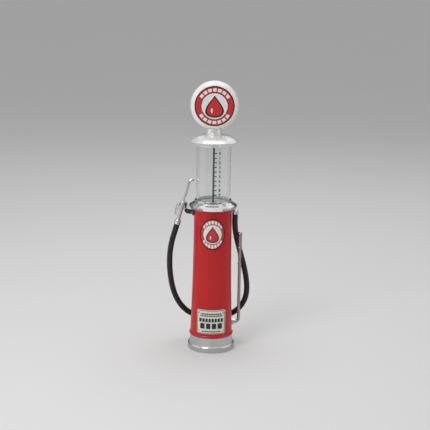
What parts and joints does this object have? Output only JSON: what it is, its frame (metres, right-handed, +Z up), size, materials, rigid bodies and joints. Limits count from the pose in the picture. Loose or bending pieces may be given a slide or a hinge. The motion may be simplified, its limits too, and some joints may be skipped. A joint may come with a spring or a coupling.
{
  "type": "gas pump replica",
  "caption": "Display replica of an early visible gas pump: tapered red column, clear sight cylinder, round white globe, hand lever, and hose with a hooked nozzle.",
  "frame": {"origin": "centre of the foot's underside", "axes": "+Z up along the column, front (badge and data plate) towards -Y, +X to the lever's side"},
  "size_m": [0.0524, 0.0333, 0.1681],
  "materials": {
    "foot_chrome": "bright plated die-cast metal",
    "black_plastic": "fine moulded texture",
    "screw_steel": "zinc-plated steel",
    "red_paint": "glossy red enamel on die-cast metal",
    "badge_enamel": "glossy printed badge, red and white with black outlines",
    "label_plate": "cream printed plate with dark greeked lines",
    "rivet_metal": "small domed rivets",
    "bowl_chrome": "bright plated metal",
    "nameplate_metal": "bright silver banner with a thin dark line",
    "gasket_rubber": "thin pale grey ring",
    "clear_cylinder": "clear polished tube",
    "cap_chrome": "satin plated metal, almost white",
    "rod_black": "satin black",
    "clear_strip": "clear strip with black printed marks",
    "neck_silver": "satin plated metal, almost white",
    "globe_white": "glossy opal white",
    "globe_lens": "printed disc, red ring with a white centre and black outlines",
    "fitting_chrome": "bright plated metal",
    "hose_rubber": "satin black rubber",
    "hook_black": "satin black",
    "lever_chrome": "dark bright-plated metal",
    "nozzle_chrome": "bright plated metal"
  },
  "bodies": {
    "pump": {"base_foot": "foot_chrome", "base_plate": "black_plastic", "base_screws": "screw_steel", "column": "red_paint", "oval_badge": "badge_enamel", "data_plate": "label_plate", "plate_rivets": "rivet_metal", "bowl": "bowl_chrome", "bowl_nameplate": "nameplate_metal", "lower_gasket": "gasket_rubber", "sight_cylinder": "clear_cylinder", "upper_gasket": "gasket_rubber", "cap": "cap_chrome", "tie_rod": "rod_black", "rod_nuts": "screw_steel", "gauge_scale": "clear_strip", "globe_neck": "neck_silver", "globe_shell_rear": "globe_white", "globe_shell_front": "globe_white", "globe_face_rear": "globe_lens", "globe_face_front": "globe_lens", "hose_outlet": "fitting_chrome", "hose": "hose_rubber", "nozzle_hook": "hook_black", "hook_rivet": "rivet_metal", "lever_boss": "fitting_chrome", "lever_washer": "screw_steel"},
    "lever": {"lever_arm": "lever_chrome", "lever_clip": "screw_steel", "lever_collar": "lever_chrome", "lever_grip": "lever_chrome", "lever_ball": "lever_chrome"},
    "nozzle": {"nozzle_ferrule": "nozzle_chrome", "nozzle_body": "nozzle_chrome", "nozzle_spout": "nozzle_chrome", "nozzle_guard": "nozzle_chrome", "trigger_pin": "screw_steel"},
    "trigger": {"nozzle_trigger": "nozzle_chrome"}
  },
  "joints": [
    {"name": "lever_swing", "type": "hinge", "parent": "pump", "child": "lever", "pos_m": [0.0171, 0, 0.0167], "axis": [1, 0, 0], "range_deg": [0, 75]},
    {"name": "nozzle_unhook", "type": "slide", "parent": "pump", "child": "nozzle", "axis": [0, -1, 0], "range_m": [0, 0.012]},
    {"name": "trigger_squeeze", "type": "hinge", "parent": "nozzle", "child": "trigger", "pos_m": [-0.02061, 0, 0.09145], "axis": [0, -1, 0], "range_deg": [0, 7]}
  ]
}
